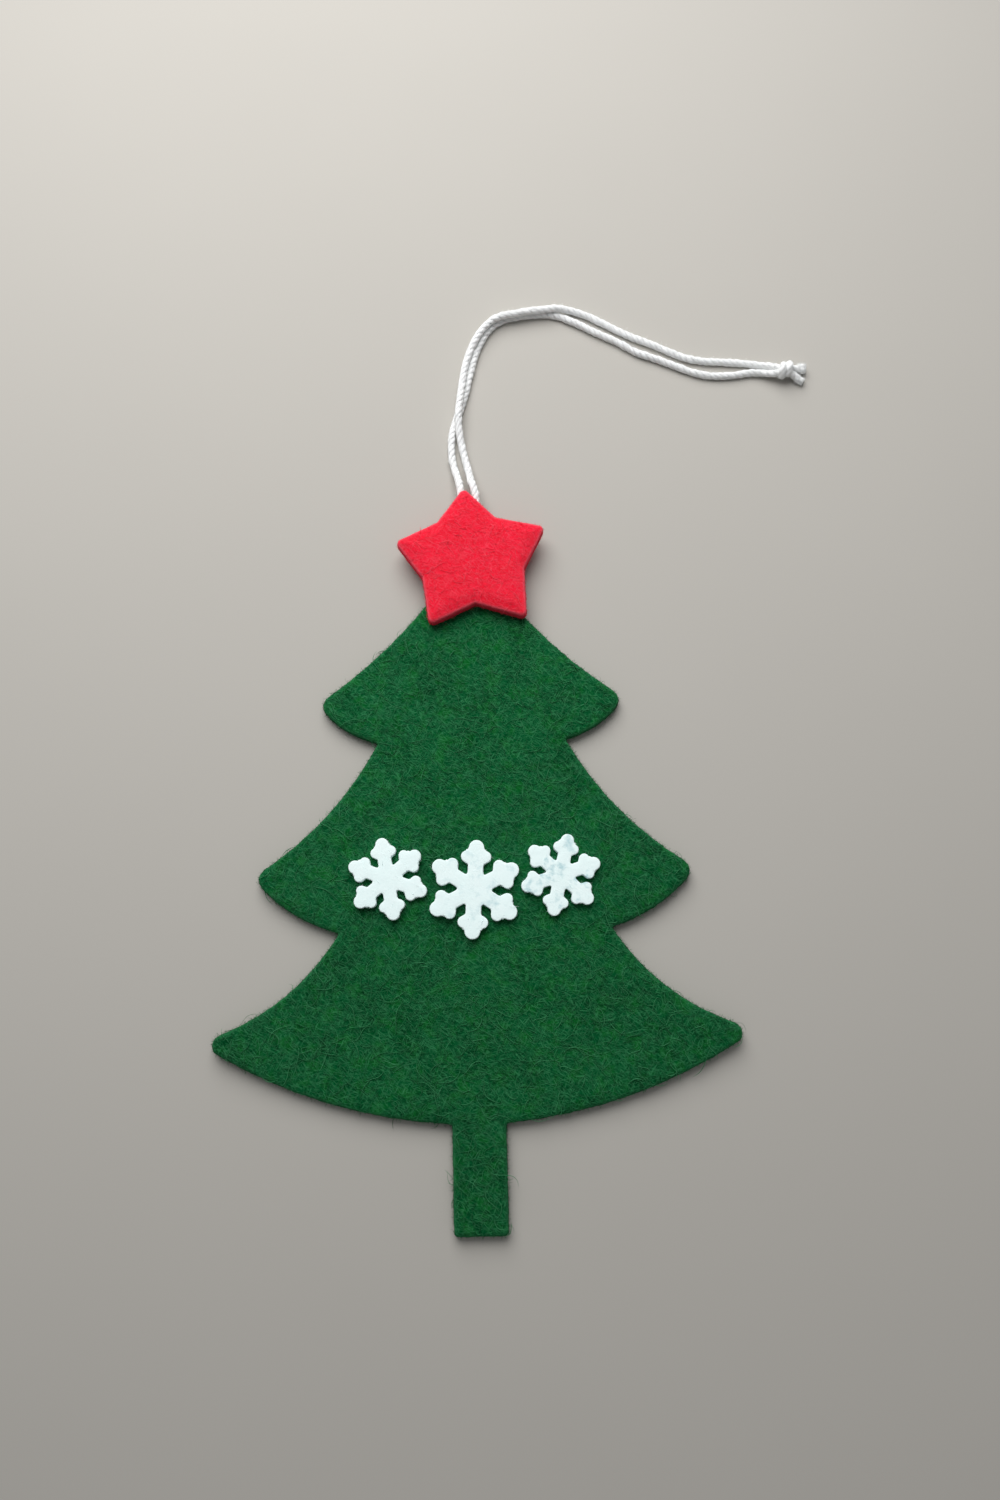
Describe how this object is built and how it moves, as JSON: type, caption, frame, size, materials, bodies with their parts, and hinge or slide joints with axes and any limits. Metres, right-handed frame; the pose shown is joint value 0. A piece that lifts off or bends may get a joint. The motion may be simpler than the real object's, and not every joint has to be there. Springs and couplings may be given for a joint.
{
  "type": "felt christmas tree ornament",
  "caption": "Flat felt tree ornament with a glued star at its top, snowflakes on its front and a knotted twine loop to hang it by.",
  "frame": {"origin": "on the back face, at the middle of the box round the tree and the star, with the ornament lying on its back", "axes": "+Y runs up the tree from the trunk to the star, +X to the tree's right as it is looked at, +Z out of its front"},
  "size_m": [0.1235, 0.1882, 0.0058],
  "materials": {
    "green_felt": "forest green needle felt, matt and slightly fuzzy",
    "red_felt": "bright red thick needle felt, matt, with soft edges",
    "white_felt": "thin white needle felt, smooth, with glue showing through in pale blotches",
    "cotton_twine": "white twisted cotton twine",
    "hot_melt_glue": "translucent cream hot-melt glue"
  },
  "bodies": {
    "root": {"tree_felt": "green_felt", "star_felt": "red_felt", "snowflake_left": "white_felt", "snowflake_middle": "white_felt", "snowflake_right": "white_felt", "snowflake_left_glue": "hot_melt_glue", "snowflake_middle_glue": "hot_melt_glue", "snowflake_right_glue": "hot_melt_glue", "star_glue_left": "hot_melt_glue", "star_glue_right": "hot_melt_glue", "cord_glue": "hot_melt_glue", "cord_bight": "cotton_twine", "cord_left_strand": "cotton_twine", "cord_right_strand": "cotton_twine", "cord_knot": "cotton_twine"}
  },
  "joints": []
}
